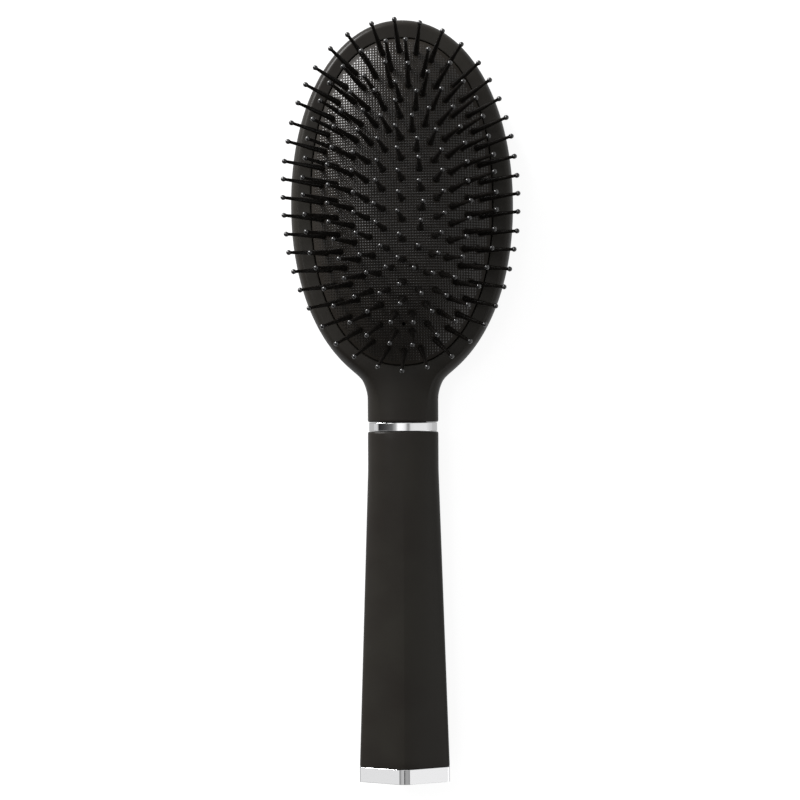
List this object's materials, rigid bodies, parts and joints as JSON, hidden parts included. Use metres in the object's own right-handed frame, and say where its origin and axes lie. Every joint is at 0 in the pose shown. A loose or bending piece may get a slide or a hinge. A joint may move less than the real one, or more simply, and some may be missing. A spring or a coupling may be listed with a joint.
{
  "type": "cushion brush",
  "caption": "Oval hair brush with a domed rubber cushion, rows of ball-tipped pins, a chrome neck ring and a flared handle with a chrome end cap.",
  "frame": {"origin": "on the surface that the brush lies on, at the middle of its length and width", "axes": "+Y along the handle towards the head, +X across, +Z out of the cushion along the middle pins"},
  "size_m": [0.0752, 0.245, 0.041],
  "materials": {
    "soft_touch_plastic": "black soft-touch coat, satin",
    "cushion_rubber": "black rubber with a fine grid of raised dots, glossy",
    "pin_nylon": "black nylon, glossy ball tips",
    "chrome_plate": "bright chrome plate on plastic"
  },
  "bodies": {
    "brush_body": {"head_shell": "soft_touch_plastic", "cushion_pad": "cushion_rubber", "neck_ring": "chrome_plate", "handle": "soft_touch_plastic", "end_cap": "chrome_plate"},
    "centre_pins": {"pin_row_centre": "pin_nylon"},
    "ring_1_pins": {"pin_ring_1": "pin_nylon"},
    "ring_2_pins": {"pin_ring_2": "pin_nylon"},
    "ring_3_pins": {"pin_ring_3": "pin_nylon"},
    "ring_4_pins": {"pin_ring_4": "pin_nylon"},
    "ring_5_pins": {"pin_ring_5": "pin_nylon"}
  },
  "joints": [
    {"name": "cushion_press", "type": "slide", "parent": "brush_body", "child": "centre_pins", "axis": [0, 0, -1], "range_m": [0, 0.005], "stiffness_N_per_m": 800, "deforming": ["cushion_pad"]},
    {"name": "ring_1_press", "type": "slide", "parent": "brush_body", "child": "ring_1_pins", "axis": [0, 0, -1], "range_m": [0, 0.00164], "deforming": ["cushion_pad"]},
    {"name": "ring_2_press", "type": "slide", "parent": "brush_body", "child": "ring_2_pins", "axis": [0, 0, -1], "range_m": [0, 0.00303], "deforming": ["cushion_pad"]},
    {"name": "ring_3_press", "type": "slide", "parent": "brush_body", "child": "ring_3_pins", "axis": [0, 0, -1], "range_m": [0, 0.00398], "deforming": ["cushion_pad"]},
    {"name": "ring_4_press", "type": "slide", "parent": "brush_body", "child": "ring_4_pins", "axis": [0, 0, -1], "range_m": [0, 0.00456], "deforming": ["cushion_pad"]},
    {"name": "ring_5_press", "type": "slide", "parent": "brush_body", "child": "ring_5_pins", "axis": [0, 0, -1], "range_m": [0, 0.00487], "deforming": ["cushion_pad"]}
  ],
  "couplings": [
    {"joint": "ring_1_press", "follows": "cushion_press", "ratio": 0.329},
    {"joint": "ring_2_press", "follows": "cushion_press", "ratio": 0.606},
    {"joint": "ring_3_press", "follows": "cushion_press", "ratio": 0.796},
    {"joint": "ring_4_press", "follows": "cushion_press", "ratio": 0.911},
    {"joint": "ring_5_press", "follows": "cushion_press", "ratio": 0.975}
  ]
}
